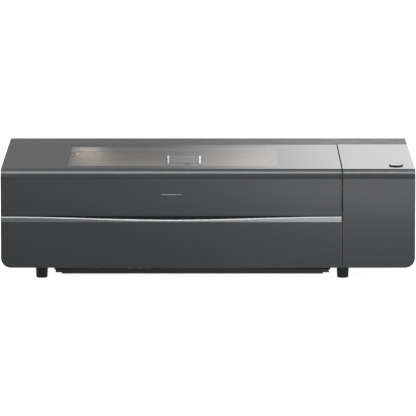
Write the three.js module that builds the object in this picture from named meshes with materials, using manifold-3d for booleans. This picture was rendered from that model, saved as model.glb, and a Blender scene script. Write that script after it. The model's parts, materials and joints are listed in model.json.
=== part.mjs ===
// Desktop laser cutter: a wide, flat housing with a glazed lid over the cutting chamber, a narrow
// tower on its right for the electronics, and a bay behind the chamber for the laser tube.
// Millimetres. X runs to the right, Y to the back, Z up. The origin is on the floor, under the
// middle of the footprint. Everything is modelled closed and at rest.
import * as THREE from 'three';
import { mergeVertices } from 'three/addons/utils/BufferGeometryUtils.js';
import Module from 'manifold-3d';

const wasm = await Module();
wasm.setup();

// ---------------------------------------------------------------- driving dimensions
const width = 1000;
const depth = 640;
const footHeight = 30;
const bodyTop = 268;
const gap = 0.3; // between pieces that touch
const clearance = 0.8; // between the covers and what swings or stands behind them
const sheet = 3; // side panels, walls
const skin = 4; // front and top covers
const cornerRadius = 24; // lower side corners, seen from the front
const filletRadius = 22.7; // front top edge
const collarReach = 14; // exhaust collar, behind the rear panel
const towerSeamX = 323.6; // middle of the gap between lid and tower
const towerSeam = 3;
const lidLowerEdge = 156.5;
const trimBottom = 141.2;
const trimTop = 154.8;
const trimDip = 7.8; // how far the trim's top edge sinks at its middle
const hinge = { y: 177, z: 266, radius: 2 };
const doorHinge = { y: -318, z: 31.5 };
const chamberX = -38; // middle of bed, tray and feet
const windowX = [-339.4, 170];
const windowY = [-239.5, 160];
const tubeAxis = { y: 232, z: 196 };
const fan = { x: 200, z: 130 };
const button = { x: 456, y: -238 };
const chamberRearY = [178, 181]; // wall between the chamber and the tube bay
const railY = [-300, 172]; // the two Y rails
const railZ = [165, 185];
const gantryY = [115, 145]; // beam in its home place, at the back
const beamZ = [180, 205];
const driveShaft = { y: 155, z: 155, radius: 4 };
const pulley = { left: -464, right: 242, width: 7, radius: 10 };
const idlerY = -280;
const xBelt = { y: [100, 106], z: 162, left: -440, right: 212, radius: 8 };
const headX = -405;

// ---------------------------------------------------------------- places that follow from them
const left = -width / 2;
const right = width / 2;
const front = -depth / 2;
const rear = depth / 2 - collarReach;
const topUnder = bodyTop - skin;
const wallFront = front + skin + clearance;
const wallRear = rear - sheet - gap;
const floorTop = footHeight + 4;
const filletEnd = front + filletRadius;
const filletZ = bodyTop - filletRadius;
const wallTop = filletZ + filletEnd - wallFront;
const lidRight = towerSeamX - towerSeam / 2;
const towerLeft = towerSeamX + towerSeam / 2;
const lidRear = hinge.y - hinge.radius - gap;
const coverFront = hinge.y + hinge.radius + gap;
const partitionX = [326, 329];

// ---------------------------------------------------------------- colours and finishes
function finish(color, roughness, metalness) {
  return new THREE.MeshStandardMaterial({ color, roughness, metalness });
}
const finishes = {
  housing: finish('#4a4b4d', 0.42, 0.0),
  topCover: finish('#5a5b5c', 0.55, 0.0),
  glass: finish('#3c3e40', 0.06, 0.0),
  trim: finish('#c4c5c7', 0.3, 1.0),
  steel: finish('#9a9c9e', 0.4, 1.0),
  frame: finish('#6b6a66', 0.5, 0.3),
  chamber: finish('#8d8a84', 0.6, 0.2),
  tray: finish('#33373a', 0.55, 0.2),
  rubber: finish('#222427', 0.85, 0.0),
  plastic: finish('#1c1d1f', 0.5, 0.0),
  greyPlastic: finish('#86888a', 0.5, 0.0),
  light: finish('#f6f6f2', 0.4, 0.0),
  belt: finish('#18191a', 0.8, 0.0),
  laserGlass: finish('#bcd3da', 0.08, 0.0),
  board: finish('#1f5a3c', 0.5, 0.0),
};

const cutter = new THREE.Group();

function add(name, geometry, material) {
  const mesh = new THREE.Mesh(geometry, finishes[material]);
  mesh.name = name;
  cutter.add(mesh);
  return mesh;
}

// ---------------------------------------------------------------- shape helpers
const axisX = new THREE.Vector3(1, 0, 0);
const axisY = new THREE.Vector3(0, 1, 0);
const axisZ = new THREE.Vector3(0, 0, 1);

function box(x, y, z) {
  const geometry = new THREE.BoxGeometry(x[1] - x[0], y[1] - y[0], z[1] - z[0]);
  return geometry.translate((x[0] + x[1]) / 2, (y[0] + y[1]) / 2, (z[0] + z[1]) / 2);
}

function extrude(outline, length) {
  const settings = { depth: length, bevelEnabled: false, curveSegments: 10 };
  return new THREE.ExtrudeGeometry(outline, settings);
}

// An outline in (Y, Z), pushed along X.
function prismX(outline, x) {
  const turn = new THREE.Matrix4().makeBasis(axisY, axisZ, axisX);
  return extrude(outline, x[1] - x[0]).applyMatrix4(turn).translate(x[0], 0, 0);
}

// An outline in (X, Z), pushed along Y.
function prismY(outline, y) {
  const turn = new THREE.Matrix4().makeBasis(axisX, axisZ, axisY.clone().negate());
  return extrude(outline, y[1] - y[0]).applyMatrix4(turn).translate(0, y[1], 0);
}

// An outline in (X, Y), pushed along Z.
function prismZ(outline, z) {
  return extrude(outline, z[1] - z[0]).translate(0, 0, z[0]);
}

function polygon(points) {
  return new THREE.Shape(points.map(([u, v]) => new THREE.Vector2(u, v)));
}

function rectangle(u, v) {
  return polygon([[u[0], v[0]], [u[1], v[0]], [u[1], v[1]], [u[0], v[1]]]);
}

function circle(u, v, radius) {
  const path = new THREE.Path();
  path.absarc(u, v, radius, 0, 2 * Math.PI, false);
  return path;
}

// A profile of [radius, height] points turned about Z; it ends on the axis or closes on itself.
function turned(profile, segments = 28) {
  const points = profile.map(([radius, height]) => new THREE.Vector2(radius, height));
  return new THREE.LatheGeometry(points, segments).rotateX(Math.PI / 2);
}

const turnedAboutX = (profile, segments) => turned(profile, segments).rotateY(Math.PI / 2);
const turnedAboutY = (profile, segments) => turned(profile, segments).rotateX(-Math.PI / 2);

function discProfile(radius, from, to) {
  return [[0, from], [radius, from], [radius, to], [0, to]];
}

// ---------------------------------------------------------------- solid joins and cuts
function toSolid(geometry) {
  const bare = geometry.clone();
  bare.deleteAttribute('normal');
  bare.deleteAttribute('uv');
  const merged = mergeVertices(bare, 1e-4);
  const vertProperties = new Float32Array(merged.attributes.position.array);
  const triVerts = new Uint32Array(merged.index.array);
  return new wasm.Manifold(new wasm.Mesh({ numProp: 3, vertProperties, triVerts }));
}

function toGeometry(solid) {
  const mesh = solid.getMesh();
  const geometry = new THREE.BufferGeometry();
  geometry.setAttribute('position', new THREE.BufferAttribute(mesh.vertProperties, 3));
  geometry.setIndex(new THREE.BufferAttribute(mesh.triVerts, 1));
  geometry.computeVertexNormals();
  return geometry;
}

function joined(...geometries) {
  return toGeometry(geometries.map(toSolid).reduce((sum, solid) => sum.add(solid)));
}

function cut(body, ...tools) {
  return toGeometry(tools.map(toSolid).reduce((rest, tool) => rest.subtract(tool), toSolid(body)));
}

function common(first, second) {
  return toGeometry(toSolid(first).intersect(toSolid(second)));
}

// ---------------------------------------------------------------- outlines used more than once
// A front-view plate from x0 to x1 and z0 to z1; its lower corners are round where it says so.
function frontOutline(x, z, roundLeft, roundRight) {
  const r = cornerRadius;
  const outline = new THREE.Shape();
  outline.moveTo(x[1], z[1]);
  outline.lineTo(x[0], z[1]);
  if (roundLeft) {
    outline.lineTo(x[0], z[0] + r);
    outline.absarc(x[0] + r, z[0] + r, r, Math.PI, 1.5 * Math.PI, false);
  } else {
    outline.lineTo(x[0], z[0]);
  }
  if (roundRight) {
    outline.lineTo(x[1] - r, z[0]);
    outline.absarc(x[1] - r, z[0] + r, r, 1.5 * Math.PI, 2 * Math.PI, false);
  } else {
    outline.lineTo(x[1], z[0]);
  }
  outline.closePath();
  return outline;
}

// The side view of a front cover: a flat face from z0 up, bent back over the front top edge.
function frontCoverOutline(z0) {
  const outline = new THREE.Shape();
  outline.moveTo(front, z0);
  outline.lineTo(front + skin, z0);
  outline.lineTo(front + skin, filletZ);
  outline.absarc(filletEnd, filletZ, filletRadius - skin, Math.PI, Math.PI / 2, true);
  outline.lineTo(filletEnd, bodyTop);
  outline.absarc(filletEnd, filletZ, filletRadius, Math.PI / 2, Math.PI, false);
  outline.closePath();
  return outline;
}

// The side view of a wall that stands behind the front cover and under the top.
function wallOutline(z0) {
  const outline = new THREE.Shape();
  outline.moveTo(wallRear, z0);
  outline.lineTo(wallRear, wallTop);
  outline.lineTo(filletEnd, wallTop);
  outline.absarc(filletEnd, filletZ, filletEnd - wallFront, Math.PI / 2, Math.PI, false);
  outline.lineTo(wallFront, z0);
  outline.closePath();
  return outline;
}

// ---------------------------------------------------------------- base frame and feet
function addBase() {
  const inner = right - cornerRadius - gap;
  const plate = rectangle([-inner, inner], [wallFront + 3, wallRear]);
  // The opening over the crumb tray ends short of the tray's rear wall, and two narrow slots
  // let the bed rails run on past it.
  const opening = { half: 334.6, front: -254.7, rear: 146 };
  const slot = { half: 339, rear: 173 };
  plate.holes.push(polygon([
    [-slot.half, opening.front], [slot.half, opening.front], [slot.half, slot.rear],
    [opening.half, slot.rear], [opening.half, opening.rear], [-opening.half, opening.rear],
    [-opening.half, slot.rear], [-slot.half, slot.rear],
  ].map(([x, y]) => [chamberX + x, y])));
  add('base_frame', prismZ(plate, [footHeight, floorTop]), 'steel');

  const footX = 364.8;
  const footY = 272;
  const profile = [[0, 0], [11.8, 0], [13.2, 0.8], [13.7, 2.2], [14.9, footHeight - gap],
    [0, footHeight - gap]];
  for (const [sideName, side] of [['left', -1], ['right', 1]]) {
    for (const [endName, end] of [['front', -1], ['rear', 1]]) {
      const foot = add(`foot_${endName}_${sideName}`, turned(profile, 32), 'rubber');
      foot.position.set(chamberX + side * footX, end * footY, 0);
    }
  }
}

// ---------------------------------------------------------------- fixed housing
// The front view of a side panel: a wall bent in under the body. side is -1 on the left, 1 on
// the right.
function sidePanelOutline(side) {
  const r = cornerRadius;
  const centreX = side * (right - r);
  const centreZ = footHeight + r;
  const wallAngle = side < 0 ? Math.PI : 0;
  const floorAngle = -Math.PI / 2;
  const outline = new THREE.Shape();
  outline.moveTo(side * right, wallTop + 1);
  outline.absarc(centreX, centreZ, r, wallAngle, floorAngle, side > 0);
  outline.absarc(centreX, centreZ, r - sheet, floorAngle, wallAngle, side < 0);
  outline.lineTo(side * (right - sheet), wallTop + 1);
  outline.closePath();
  return outline;
}

function addHousing() {
  for (const [name, side] of [['left', -1], ['right', 1]]) {
    const bent = prismY(sidePanelOutline(side), [wallFront, wallRear]);
    const wall = prismX(wallOutline(footHeight), [left - 1, right + 1]);
    add(`${name}_side_panel`, common(bent, wall), 'housing');
  }

  const rearOutline = frontOutline([left, right], [footHeight, wallTop], true, true);
  rearOutline.holes.push(rectangle([fan.x - 50, fan.x + 50], [fan.z - 50, fan.z + 50]));
  add('rear_panel', prismY(rearOutline, [rear - sheet, rear]), 'housing');

  add('rear_top_cover', box([left, right], [coverFront, rear], [topUnder, bodyTop]), 'topCover');
  add('inner_rear_wall', box([-440, partitionX[0] - gap], chamberRearY, [60, wallTop]), 'chamber');
  add('partition_wall', prismX(wallOutline(floorTop + gap), partitionX), 'chamber');
  add('lid_hinge_barrel', turnedAboutX(discProfile(hinge.radius, -490, 315), 16)
    .translate(0, hinge.y, hinge.z), 'steel');
}

// ---------------------------------------------------------------- silver trim on its crossmember
function addTrim() {
  const x = [left, lidRight];
  const steps = 40;
  const points = [[x[1], trimBottom], [x[1], trimTop]];
  for (let i = 1; i <= steps; i += 1) {
    const along = i / steps;
    const dip = trimDip * (1 - Math.cos(2 * Math.PI * along)) / 2;
    points.push([x[1] + along * (x[0] - x[1]), trimTop - dip]);
  }
  points.push([x[0], trimBottom]);
  add('front_trim', prismY(polygon(points), [front, front + skin]), 'trim');
  add('front_crossmember', box([left + sheet + gap, lidRight], [front + skin + gap, -296],
    [128, 146]), 'frame');
}

// ---------------------------------------------------------------- tower on the right
function addTower() {
  const x = [towerLeft, right];
  const cover = prismX(frontCoverOutline(footHeight), x);
  const corner = prismY(frontOutline(x, [footHeight, bodyTop + 1], false, true),
    [front - 1, filletEnd + 1]);
  add('tower_front_cover', common(cover, corner), 'housing');

  const top = rectangle(x, [filletEnd + gap, coverFront - gap]);
  top.holes.push(circle(button.x, button.y, 17.6));
  add('tower_top_panel', prismZ(top, [topUnder, bodyTop]), 'glass');

  // The bezel is a cup, and the switch sits in its floor.
  const cup = [[0, 248], [17.2, 248], [17.2, 270.6], [14.3, 270.6], [14.3, 255], [0, 255]];
  add('button_bezel', turned(cup, 32).translate(button.x, button.y, 0), 'plastic');
  const cap = [[0, 258], [14, 258], [14, 270.4], [13.2, 271], [0, 270.4]];
  add('start_button', turned(cap, 32).translate(button.x, button.y, 0), 'light');
}

// ---------------------------------------------------------------- lid
function addLid() {
  add('lid_glass', box([left, lidRight], [filletEnd + gap, lidRear], [topUnder, bodyTop]),
    'glass');
  add('lid_front_panel', prismX(frontCoverOutline(lidLowerEdge), [left, lidRight]), 'housing');

  const frame = rectangle([left + 6, lidRight - 6], [-296, 172.5]);
  frame.holes.push(rectangle(windowX, windowY));
  add('lid_frame', prismZ(frame, [wallTop - 10.7, wallTop]), 'frame');

  // The camera module hangs under the glass, with a light bar at each end of its front face.
  const x = [-103.4, -13.9];
  const faceY = -12;
  const z = [244, wallTop + gap];
  const lens = { x: -52, y: -5, radius: 6, reach: 4 };
  add('camera_housing', box(x, [faceY, 55], z), 'greyPlastic');
  for (const [name, barX] of [['left', [-99.9, -96.1]], ['right', [-22.1, -17.5]]]) {
    add(`camera_light_${name}`, box(barX, [faceY - 4, faceY - gap], [z[0] + 1, z[1]]), 'light');
  }
  const lensProfile = discProfile(lens.radius, z[0] - lens.reach, z[0] - gap);
  add('camera_lens', turned(lensProfile, 20).translate(lens.x, lens.y, 0), 'plastic');
}

// ---------------------------------------------------------------- front door
function addFrontDoor() {
  const x = [left, towerLeft - clearance];
  const outline = frontOutline(x, [footHeight, trimBottom - gap], true, false);
  add('front_door', prismY(outline, [front, front + skin]), 'housing');
}

// ---------------------------------------------------------------- bed, tray and their rails
function addBed() {
  const outline = rectangle([chamberX - 328, chamberX + 328], [-250, 165]);
  const slots = 11;
  const pitch = 35;
  for (let i = 0; i < slots; i += 1) {
    const y = -235 + i * pitch;
    outline.holes.push(rectangle([chamberX - 313, chamberX + 313], [y, y + pitch - 4]));
  }
  add('slat_bed', prismZ(outline, [100, 112]), 'steel');

  // One C-shaped rail on each side: its lower lip carries the tray, its upper lip the bed.
  const web = 338.7;
  for (const [name, side] of [['left', -1], ['right', 1]]) {
    const place = ([reach, z]) => [chamberX + side * reach, z];
    const corners = [[web, 19.3], [web - 6.5, 19.3], [web - 6.5, 22], [web - 3.5, 22],
      [web - 3.5, 96.7], [web - 17, 96.7], [web - 17, 99.7], [web, 99.7]];
    add(`bed_rail_${name}`, prismY(polygon(corners.map(place)), [-250, 172]), 'steel');
  }
}

function addCrumbTray() {
  const y = [-300, 150];
  const wall = 2;
  const lip = { half: 334, z: [22.6, 24.6] }; // runs in the rails
  const tray = { half: 330.7, z: [16, 24.6] };
  const well = { half: 316.5, bottom: 10.7, inset: 14 }; // the deeper middle of the tray
  const across = (half) => [chamberX - half, chamberX + half];
  const inset = (margin) => [y[0] + margin, y[1] - margin];
  const shell = joined(
    box(across(tray.half), y, tray.z),
    box(across(lip.half), y, lip.z),
    box(across(well.half), inset(well.inset), [well.bottom, tray.z[0] + wall / 2]),
  );
  const inside = joined(
    box(across(tray.half - wall), inset(wall), [tray.z[0] + wall, footHeight]),
    box(across(well.half - wall), inset(well.inset + wall), [well.bottom + wall, tray.z[1]]),
  );
  add('crumb_tray', cut(shell, inside), 'tray');
}

// ---------------------------------------------------------------- Y axis: rails, shaft, belts
function beltLoop(from, to, radius) {
  const loop = (r) => {
    const path = new THREE.Shape();
    path.absarc(to, 0, r, -Math.PI / 2, Math.PI / 2, false);
    path.absarc(from, 0, r, Math.PI / 2, 1.5 * Math.PI, false);
    path.closePath();
    return path;
  };
  const outline = loop(radius + 1.6);
  outline.holes.push(loop(radius + gap));
  return outline;
}

function addYAxis() {
  const railWidth = 18.2;
  const railLeft = left + sheet + gap;
  const railRight = partitionX[0] - gap;
  add('y_rail_left', box([railLeft, railLeft + railWidth], railY, railZ), 'steel');
  add('y_rail_right', box([railRight - railWidth, railRight], railY, railZ), 'steel');

  const wheels = [pulley.left, pulley.right].map((x) => [x, x + pulley.width]);
  const [leftWheel, rightWheel] = wheels;
  const shaft = [[0, leftWheel[0]], [pulley.radius, leftWheel[0]], [pulley.radius, leftWheel[1]],
    [driveShaft.radius, leftWheel[1]], [driveShaft.radius, rightWheel[0]],
    [pulley.radius, rightWheel[0]], [pulley.radius, rightWheel[1]], [0, rightWheel[1]]];
  add('y_drive_shaft', turnedAboutX(shaft, 24).translate(0, driveShaft.y, driveShaft.z), 'steel');
  const motorHalf = 21;
  add('y_motor', box([250, 290], [driveShaft.y - motorHalf, driveShaft.y + motorHalf],
    [driveShaft.z - motorHalf, driveShaft.z + motorHalf]), 'plastic');

  wheels.forEach((x, i) => {
    const name = ['left', 'right'][i];
    add(`y_idler_${name}`, turnedAboutX(discProfile(pulley.radius, ...x), 24)
      .translate(0, idlerY, driveShaft.z), 'steel');
    add(`y_belt_${name}`, prismX(beltLoop(idlerY, driveShaft.y, pulley.radius), [x[0] + 1, x[1] - 1])
      .translate(0, 0, driveShaft.z), 'belt');
  });
}

// ---------------------------------------------------------------- gantry and head
function addGantry() {
  add('gantry_beam', box([-446, 297.7], gantryY, beamZ), 'steel');
  add('gantry_end_left', joined(
    box([-478.2, -469], [98, 160], [160, 206]),
    box([-470, -420], [110, 150], [173, 179.7]),
    box([-470, -446], [60, 112], [173, 179.7]),
  ), 'frame');
  add('gantry_end_right', box([298, 307.2], [98, 160], [160, 206]), 'frame');
  const mirror = polygon([[-467, 66], [-447, 66], [-447, 76], [-457, 86], [-467, 86]]);
  add('gantry_mirror', prismZ(mirror, [180, 206]), 'steel');

  add('x_motor', box([xBelt.right - 17.5, xBelt.right + 17.5], [112, 147], [144.5, 179.7]),
    'plastic');
  for (const [name, x] of [['x_drive_pulley', xBelt.right], ['x_idler', xBelt.left]]) {
    add(name, turnedAboutY(discProfile(xBelt.radius, 99, 107), 24)
      .translate(x, 0, xBelt.z), 'steel');
  }
  add('x_belt', prismY(beltLoop(xBelt.left, xBelt.right, xBelt.radius), xBelt.y)
    .translate(0, 0, xBelt.z), 'belt');

  add('head_carriage', box([headX - 35, headX + 35], [70, 107.5], [173, 207]), 'plastic');
  const tube = [[0, 142], [4, 142], [6, 150], [13, 156], [13, 198], [0, 198]];
  add('focus_tube', turned(tube, 24).translate(headX, 55, 0), 'steel');
}

// ---------------------------------------------------------------- laser tube bay
function addTubeBay() {
  const tube = [[0, -400], [9, -400], [9, -375], [25, -365], [25, 255], [9, 265], [9, 290],
    [0, 290]];
  add('laser_tube', turnedAboutX(tube, 28).translate(0, tubeAxis.y, tubeAxis.z), 'laserGlass');
  const stand = rectangle([200, 264], [floorTop + gap, 231]);
  stand.holes.push(circle(tubeAxis.y, tubeAxis.z, 25.6));
  add('tube_stand_left', prismX(stand, [-260, -240]), 'plastic');
  add('tube_stand_right', prismX(stand, [80, 100]), 'plastic');

  const mirror = polygon([[-475, 214], [-457, 214], [-439, 232], [-439, 250], [-475, 250]]);
  add('mirror_stand', prismZ(mirror, [floorTop + gap, 214]), 'steel');
  add('water_tank', box([-220, -20], [204, 290], [floorTop + gap, 120]), 'greyPlastic');
}

// ---------------------------------------------------------------- electronics
function addElectronics() {
  add('power_supply', box([336, 476], [-140, 100], [floorTop + gap, 130]), 'steel');
  add('control_board', joined(
    box([345, 485], [-150, 60], [190, 192]),
    box([365, 405], [-120, -80], [191, 204]),
    box([430, 475], [-40, 40], [191, 210]),
  ), 'board');

  // The mains inlet and the rocker switch share one block on the rear panel.
  const block = box([395, 465], [rear + gap, rear + 13], [50, 98]);
  const inlet = box([402, 429], [rear + 2, rear + 20], [63, 85]);
  const pocket = box([440, 458], [rear + 2, rear + 20], [59, 89]);
  add('power_inlet', cut(block, inlet, pocket), 'plastic');
  const rocker = polygon([[-3, -10], [2, -12.5], [5, -12.5], [4, 0], [5, 12.5], [2, 12.5],
    [-3, 10]]);
  const mesh = add('rocker_switch', prismX(rocker, [-8, 8]), 'plastic');
  mesh.position.set(449, rear + 7, 74);
  mesh.rotation.x = THREE.MathUtils.degToRad(-8);
}

// ---------------------------------------------------------------- exhaust
function addExhaust() {
  const frame = rectangle([fan.x - 60, fan.x + 60], [fan.z - 60, fan.z + 60]);
  frame.holes.push(circle(fan.x, fan.z, 56));
  const boss = turnedAboutY(discProfile(14, 296, 301), 20).translate(fan.x, 0, fan.z);
  add('fan_housing', joined(
    prismY(frame, [264, rear - sheet - gap]),
    box([fan.x - 57, fan.x + 57], [297, 301], [fan.z - 5, fan.z + 5]),
    boss,
  ), 'plastic');

  const hub = turnedAboutY(discProfile(20, 268, 294.5), 24);
  const blades = 7;
  const pieces = [hub];
  for (let i = 0; i < blades; i += 1) {
    const blade = new THREE.BoxGeometry(36, 24, 2);
    blade.rotateX(THREE.MathUtils.degToRad(35));
    blade.translate(36, 281, 0);
    blade.rotateY(2 * Math.PI * i / blades);
    pieces.push(blade);
  }
  add('fan_rotor', joined(...pieces).translate(fan.x, 0, fan.z), 'plastic');

  // A round flange covers the square hole in the rear panel, and a hose fits over the collar.
  const base = rear + gap;
  const collar = [[49, base], [74, base], [74, base + 2], [52, base + 2],
    [52, rear + collarReach], [49, rear + collarReach], [49, base]];
  add('exhaust_collar', turnedAboutY(collar, 36).translate(fan.x, 0, fan.z), 'plastic');
}

addBase();
addHousing();
addTrim();
addTower();
addLid();
addFrontDoor();
addBed();
addCrumbTray();
addYAxis();
addGantry();
addTubeBay();
addElectronics();
addExhaust();

export default cutter;
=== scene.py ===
"""Looks of the desktop laser cutter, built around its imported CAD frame. Metres, +X right, +Y back."""
import json
import math

import bmesh
import bpy
from mathutils import Matrix, Vector


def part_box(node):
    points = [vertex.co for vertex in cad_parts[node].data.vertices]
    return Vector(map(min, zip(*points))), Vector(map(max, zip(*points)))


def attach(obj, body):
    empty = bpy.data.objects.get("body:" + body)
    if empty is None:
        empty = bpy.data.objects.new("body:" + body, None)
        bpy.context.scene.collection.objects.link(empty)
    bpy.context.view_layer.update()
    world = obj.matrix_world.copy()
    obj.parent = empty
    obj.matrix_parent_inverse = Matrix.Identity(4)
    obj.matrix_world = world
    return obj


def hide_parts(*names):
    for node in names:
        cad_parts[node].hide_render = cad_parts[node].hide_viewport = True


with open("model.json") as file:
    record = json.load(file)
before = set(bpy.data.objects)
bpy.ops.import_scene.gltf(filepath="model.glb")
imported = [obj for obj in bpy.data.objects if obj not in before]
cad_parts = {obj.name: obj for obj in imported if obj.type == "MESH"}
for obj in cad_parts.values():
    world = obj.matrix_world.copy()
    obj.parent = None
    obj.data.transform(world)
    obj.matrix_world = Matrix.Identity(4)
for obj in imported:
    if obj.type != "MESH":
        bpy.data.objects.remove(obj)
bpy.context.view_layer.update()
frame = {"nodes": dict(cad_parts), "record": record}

MM = 0.001
FILLET = 22.7 * MM      # front top edge
CORNER = 24 * MM        # lower side corners, seen from the front
SKIN = 4 * MM           # front and top covers
SHEET = 3 * MM          # side panels and walls
FILLET_STEPS = 28       # facets on a quarter turn
WINDOW = ((-339.4 * MM, -239.5 * MM), (170 * MM, 160 * MM))     # clear part of the lid


# ---------------------------------------------------------------- objects and nodes
def add_object(name, data):
    thing = bpy.data.objects.new(name, data)
    bpy.context.scene.collection.objects.link(thing)
    return thing


def new_material(name):
    material = bpy.data.materials.new(name)
    material.use_nodes = True
    return material, material.node_tree


def set_values(node, **values):
    """Sockets by their names, with _ for a space, and the node's own settings."""
    for key, value in values.items():
        socket = node.inputs.get(key.replace("_", " "))
        if socket is not None:
            socket.default_value = value
        else:
            setattr(node, key, value)
    return node


def add_node(tree, kind, **values):
    return set_values(tree.nodes.new("ShaderNode" + kind), **values)


def color_ramp(tree, source, stops):
    """Colours between stops, which are (place from 0 to 1, colour)."""
    ramp = add_node(tree, "ValToRGB")
    elements = ramp.color_ramp.elements
    while len(elements) < len(stops):
        elements.new(0.5)
    for element, (place, color) in zip(elements, stops):
        element.position = place
        element.color = (*color, 1.0)
    tree.links.new(source, ramp.inputs["Fac"])
    return ramp.outputs["Color"]


# ---------------------------------------------------------------- camera, floor and lights
def make_camera():
    elevation = math.radians(7.876)
    distance = 12.014
    aim = Vector((0.0, 0.0, 0.1316))
    data = bpy.data.cameras.new("camera")
    data.sensor_width = 36.0
    data.lens = 419.6
    data.clip_end = 200.0
    camera = add_object("camera", data)
    camera.location = aim + distance * Vector((0.0, -math.cos(elevation), math.sin(elevation)))
    camera.rotation_euler = (math.pi / 2 - elevation, 0.0, 0.0)
    bpy.context.scene.camera = camera


def make_world():
    world = bpy.data.worlds.new("studio")
    world.use_nodes = True
    set_values(world.node_tree.nodes["Background"], Color=(0.97, 0.985, 1.0, 1.0), Strength=0.62)
    bpy.context.scene.world = world
    bpy.context.scene.view_settings.view_transform = "Standard"


def area_light(name, place, aim, size, power, color=(1.0, 1.0, 1.0)):
    data = bpy.data.lights.new(name, "AREA")
    data.shape = "RECTANGLE"
    data.size, data.size_y = size
    data.energy = power
    data.color = color
    light = add_object(name, data)
    light.location = place
    light.rotation_euler = (Vector(aim) - Vector(place)).to_track_quat("-Z", "Y").to_euler()
    light.visible_camera = False


def make_lights():
    warm = (1.0, 0.9, 0.76)
    area_light("overhead_strip", (0.0, -0.55, 1.9), (0.0, -0.55, 0.0), (3.2, 0.74), 40.0)
    area_light("chamber_glow", (-0.3, 0.132, 0.256), (-0.3, 0.2, 0.254), (0.05, 0.012), 0.027, warm)
    area_light("chamber_fill", (0.13, 0.03, 0.2), (0.14, 0.18, 0.22), (0.12, 0.05), 0.055, warm)


def plane(name, corners, material):
    mesh = bpy.data.meshes.new(name)
    mesh.from_pydata(corners, [], [(0, 1, 2, 3)])
    mesh.materials.append(material)
    return add_object(name, mesh)


def make_floor():
    half = 60.0
    material, tree = new_material("pale_floor")
    set_values(tree.nodes["Principled BSDF"], Base_Color=(0.6, 0.6, 0.6, 1.0), Roughness=0.9,
               Specular_IOR_Level=0.0, Emission_Color=(1.0, 1.0, 1.0, 1.0), Emission_Strength=0.92)
    corners = [(-half, -half, 0), (half, -half, 0), (half, half, 0), (-half, half, 0)]
    floor = plane("floor", corners, material)
    floor.visible_glossy = False
    floor.visible_diffuse = False


def mirrored_card(name, y, across, height, material):
    """A card that stands facing the machine, seen only in its reflections."""
    (x0, x1), (z0, z1) = across, height
    card = plane(name, [(x0, y, z0), (x1, y, z0), (x1, y, z1), (x0, y, z1)], material)
    card.visible_camera = False
    card.visible_shadow = False
    card.visible_diffuse = False


def glow_card(name, y, across, height, glow, x_stops, z_stops):
    """A card whose glow changes across it and up it, by stops of (place, share)."""
    material, tree = new_material(name + "_glow")
    tree.nodes.clear()
    place = add_node(tree, "TexCoord")
    split = add_node(tree, "SeparateXYZ")
    product = add_node(tree, "Mix", data_type="RGBA", blend_type="MULTIPLY")
    product.inputs[0].default_value = 1.0
    emission = add_node(tree, "Emission", Strength=glow)
    output = add_node(tree, "OutputMaterial")
    tree.links.new(place.outputs["Object"], split.inputs["Vector"])
    for axis, (low, high), stops, socket in (("X", across, x_stops, 6), ("Z", height, z_stops, 7)):
        reach = add_node(tree, "MapRange", From_Min=low, From_Max=high)
        tree.links.new(split.outputs[axis], reach.inputs["Value"])
        shares = [((at - low) / (high - low), (share, share, share)) for at, share in stops]
        tree.links.new(color_ramp(tree, reach.outputs["Result"], shares), product.inputs[socket])
    tree.links.new(product.outputs[2], emission.inputs["Color"])
    tree.links.new(emission.outputs["Emission"], output.inputs["Surface"])
    mirrored_card(name, y, across, height, material)


def shade_card(name, y, half, height):
    """A black card, which the bend along the front top edge mirrors instead of the pale room."""
    material, tree = new_material(name + "_black")
    set_values(tree.nodes["Principled BSDF"], Base_Color=(0.0, 0.0, 0.0, 1.0), Specular_IOR_Level=0.0)
    mirrored_card(name, y, (-half, half), height, material)


def make_cards():
    """The studio that the gloss mirrors: dark on the left, bright on the right."""
    glow_card("back_card", 3.3, (-1.6, 1.6), (0.35, 1.3), 1.46,
              [(-0.24, 0.18), (-0.15, 0.2), (-0.09, 0.24), (0.04, 0.38), (0.22, 0.645),
               (0.35, 0.785), (0.47, 0.865), (0.8, 0.95)],
              [(0.35, 1.0), (1.3, 1.0)])
    glow_card("front_card", -1.0, (-1.2, 1.2), (-0.35, 0.5), 2.12,
              [(-0.6, 0.13), (-0.25, 0.23), (0.0, 0.48), (0.24, 0.86), (0.45, 1.0), (0.9, 0.8)],
              [(-0.2, 0.0), (0.05, 0.45), (0.13, 1.0), (0.2, 1.0), (0.28, 0.0), (0.4, 0.0)])
    shade_card("back_shade", 3.3, 0.7, (1.5, 9.0))
    shade_card("front_shade", -1.0, 0.6, (0.5, 1.8))


# ---------------------------------------------------------------- materials
def grain(tree, scale, stretch=(1.0, 1.0, 1.0), detail=3.0):
    """Noise in the machine's own metres: scale is about one over the grain's size."""
    place = add_node(tree, "TexCoord")
    mapping = add_node(tree, "Mapping", Scale=stretch)
    noise = add_node(tree, "TexNoise", Scale=scale, Detail=detail, Roughness=0.6)
    tree.links.new(place.outputs["Object"], mapping.inputs["Vector"])
    tree.links.new(mapping.outputs["Vector"], noise.inputs["Vector"])
    return noise.outputs["Fac"]


def range_between(tree, source, low, high):
    """The middle of a noise, spread from low to high."""
    reach = add_node(tree, "MapRange", From_Min=0.3, From_Max=0.7, To_Min=low, To_Max=high)
    tree.links.new(source, reach.inputs["Value"])
    return reach.outputs["Result"]


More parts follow.
